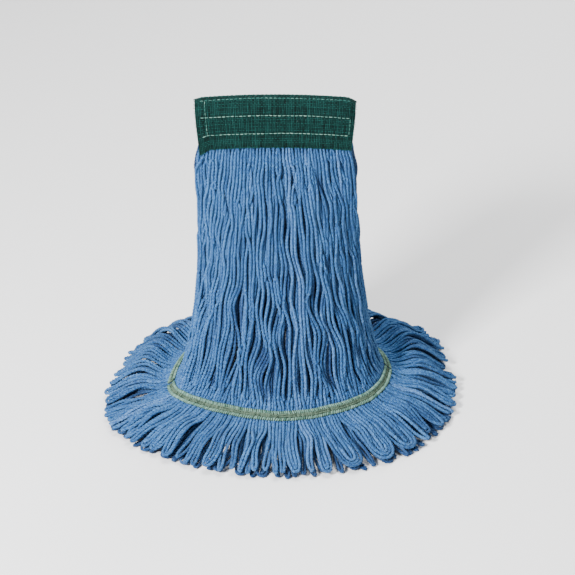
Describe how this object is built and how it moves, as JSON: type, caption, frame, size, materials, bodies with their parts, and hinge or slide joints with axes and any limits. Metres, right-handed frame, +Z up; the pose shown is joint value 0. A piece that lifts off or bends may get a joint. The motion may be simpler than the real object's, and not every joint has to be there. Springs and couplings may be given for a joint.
{
  "type": "string mop",
  "caption": "Looped-end string mop head: a folded mesh headband for a clamp holder, two halves of plied yarn, sewn tail bands and a splayed looped fringe.",
  "frame": {"origin": "on the floor, under the middle of the splayed fringe", "axes": "+X along the headband, +Y from the front half to the back half, +Z up from the floor to the headband"},
  "size_m": [0.3766, 0.324, 0.3547],
  "materials": {
    "yarn": "four-ply blended yarn, blue, soft and slightly fuzzy",
    "headband_mesh": "coarse open-weave synthetic mesh, dark green",
    "headband_lining": "the same mesh seen from inside, dark green",
    "headband_thread": "pale polyester sewing thread",
    "tail_tape": "narrow woven tape, olive",
    "tail_thread": "yellow-green polyester sewing thread"
  },
  "bodies": {
    "front_half": {"headband_mesh": "headband_mesh", "headband_lining": "headband_lining", "yarn_fold": "yarn", "front_upper_stitching": "headband_thread", "front_middle_stitching": "headband_thread", "front_lower_stitching": "headband_thread", "front_left_seam": "headband_thread", "front_right_seam": "headband_thread", "front_yarn_1": "yarn", "front_yarn_2": "yarn", "front_yarn_3": "yarn", "front_yarn_4": "yarn", "front_yarn_5": "yarn", "front_fringe_1": "yarn", "front_fringe_2": "yarn", "front_fringe_3": "yarn", "front_fringe_4": "yarn", "front_fringe_5": "yarn", "front_fringe_6": "yarn", "front_fringe_7": "yarn", "front_tail_band": "tail_tape", "front_tail_band_backing": "tail_tape", "front_tail_upper_thread": "tail_thread", "front_tail_lower_thread": "tail_thread"},
    "back_half": {"back_upper_stitching": "headband_thread", "back_middle_stitching": "headband_thread", "back_lower_stitching": "headband_thread", "back_left_seam": "headband_thread", "back_right_seam": "headband_thread", "back_yarn_1": "yarn", "back_yarn_2": "yarn", "back_yarn_3": "yarn", "back_yarn_4": "yarn", "back_yarn_5": "yarn", "back_fringe_1": "yarn", "back_fringe_2": "yarn", "back_fringe_3": "yarn", "back_fringe_4": "yarn", "back_fringe_5": "yarn", "back_fringe_6": "yarn", "back_fringe_7": "yarn", "back_tail_band": "tail_tape", "back_tail_band_backing": "tail_tape", "back_tail_upper_thread": "tail_thread", "back_tail_lower_thread": "tail_thread"}
  },
  "joints": [
    {"name": "headband_fold", "type": "hinge", "parent": "front_half", "child": "back_half", "pos_m": [0, 0, 0.3551], "axis": [1, 0, 0], "range_deg": [0, 180], "deforming": ["headband_mesh", "headband_lining", "yarn_fold"]}
  ]
}
